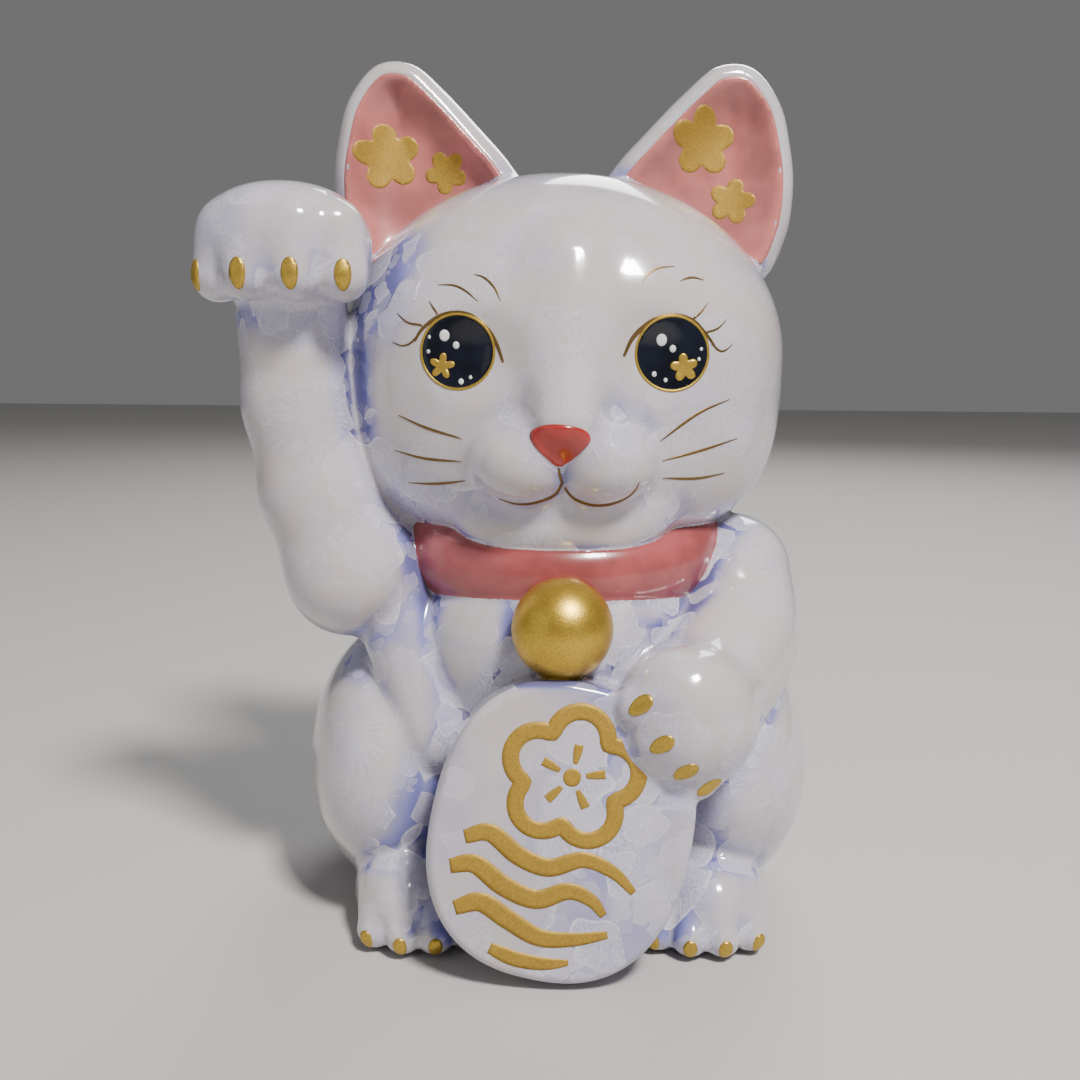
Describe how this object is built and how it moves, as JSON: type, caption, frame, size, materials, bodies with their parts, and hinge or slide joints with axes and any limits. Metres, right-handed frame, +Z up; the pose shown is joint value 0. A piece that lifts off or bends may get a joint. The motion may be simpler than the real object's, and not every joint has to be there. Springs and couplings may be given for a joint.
{
  "type": "beckoning cat figurine",
  "caption": "Seated beckoning cat in crystalline-glazed porcelain with a raised paw, a bell on a collar and an oval tablet.",
  "frame": {"origin": "on the shelf under the middle of the cat's body", "axes": "+Z up, the cat looks along -Y, its raised right paw is at -X"},
  "size_m": [0.127, 0.1118, 0.18],
  "materials": {
    "body_glaze": "gloss",
    "bare_clay": "matte",
    "pink_enamel": "satin",
    "collar_enamel": "gloss",
    "nose_enamel": "gloss",
    "eye_enamel": "gloss",
    "gold_lustre": "satin"
  },
  "bodies": {
    "root": {"torso_shell": "body_glaze", "base_plate": "bare_clay", "head_shell": "body_glaze", "right_ear": "body_glaze", "left_ear": "body_glaze", "right_ear_lining_enamel": "pink_enamel", "left_ear_lining_enamel": "pink_enamel", "right_ear_blossoms_gold": "gold_lustre", "left_ear_blossoms_gold": "gold_lustre", "collar_band": "collar_enamel", "koban_tablet": "body_glaze", "koban_ornament_gold": "gold_lustre", "bell": "gold_lustre", "raised_foreleg": "body_glaze", "raised_paw": "body_glaze", "resting_foreleg": "body_glaze", "right_hind_paw": "body_glaze", "left_hind_paw": "body_glaze", "bob_tail": "body_glaze", "right_eye_enamel": "eye_enamel", "left_eye_enamel": "eye_enamel", "right_eye_rim_gold": "gold_lustre", "left_eye_rim_gold": "gold_lustre", "whiskers_gold": "gold_lustre", "brows_gold": "gold_lustre", "nose_enamel": "nose_enamel", "mouth_line_gold": "gold_lustre", "raised_paw_claws_gold": "gold_lustre", "resting_paw_claws_gold": "gold_lustre", "right_hind_claws_gold": "gold_lustre", "left_hind_claws_gold": "gold_lustre"}
  },
  "joints": []
}
